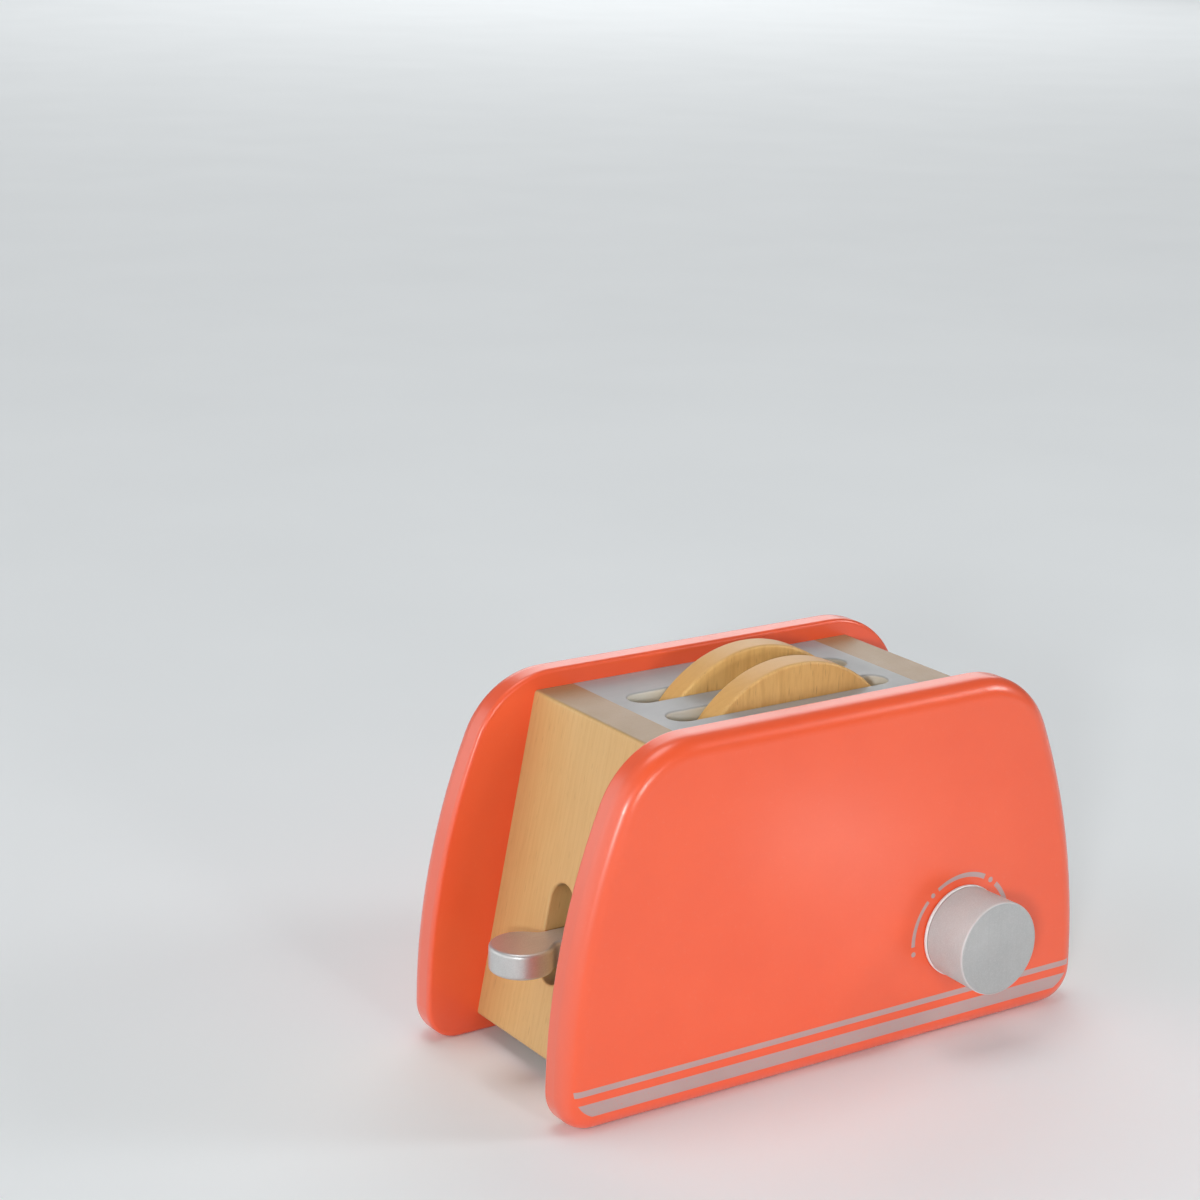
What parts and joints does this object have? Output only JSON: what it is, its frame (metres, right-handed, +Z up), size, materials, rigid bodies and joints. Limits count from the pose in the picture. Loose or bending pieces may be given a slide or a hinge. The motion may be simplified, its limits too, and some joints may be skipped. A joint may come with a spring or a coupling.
{
  "type": "toy toaster",
  "caption": "Wooden toy toaster with a see-saw lever that lifts the wooden slices out of their slots and a turning dial knob.",
  "frame": {"origin": "middle of the footprint, knob included, on the surface that the side panels stand on", "axes": "+X from the lever's end to the knob's end, +Y from the knob's side to the plain side, +Z up"},
  "size_m": [0.206, 0.1128, 0.126],
  "materials": {
    "red_paint": "satin red paint on wood",
    "grey_paint": "satin light grey paint on wood",
    "pale_wood": "clear-varnished light wood",
    "toast_wood": "orange-tan stain under varnish",
    "silver_paint": "metallic silver paint on wood",
    "inner_wood": "bare wood",
    "steel": "plain steel"
  },
  "bodies": {
    "housing": {"front_panel": "red_paint", "rear_panel": "red_paint", "lever_end_board": "pale_wood", "plain_end_board": "pale_wood", "top_plate": "grey_paint", "base_board": "pale_wood", "end_board_dowels": "inner_wood", "base_board_dowels": "inner_wood", "top_plate_dowels": "inner_wood", "lever_pivot_pin": "steel", "rest_dowel": "inner_wood", "front_guide_rod": "inner_wood", "rear_guide_rod": "inner_wood"},
    "lever": {"lever": "silver_paint", "lift_bar": "inner_wood"},
    "toast_shelf": {"toast_shelf": "inner_wood"},
    "front_toast": {"front_toast": "toast_wood"},
    "rear_toast": {"rear_toast": "toast_wood"},
    "knob": {"knob": "silver_paint", "knob_axle": "inner_wood", "knob_retainer": "inner_wood"}
  },
  "joints": [
    {"name": "lever_press", "type": "hinge", "parent": "housing", "child": "lever", "pos_m": [-0.07052, 0.0096, 0.0406], "axis": [0, -1, 0], "range_deg": [0, 18]},
    {"name": "shelf_lift", "type": "slide", "parent": "housing", "child": "toast_shelf", "axis": [0, 0, 1], "range_m": [0, 0.02341]},
    {"name": "front_toast_out", "type": "slide", "parent": "toast_shelf", "child": "front_toast", "axis": [0, 0, 1], "range_m": [0, 0.075]},
    {"name": "rear_toast_out", "type": "slide", "parent": "toast_shelf", "child": "rear_toast", "axis": [0, 0, 1], "range_m": [0, 0.075]},
    {"name": "knob_turn", "type": "hinge", "parent": "housing", "child": "knob", "pos_m": [0.0501, -0.03745, 0.0363], "axis": [0, -1, 0], "continuous": true}
  ],
  "couplings": [
    {"joint": "lever_press", "follows": "shelf_lift", "rad_per_m": 13.419}
  ]
}
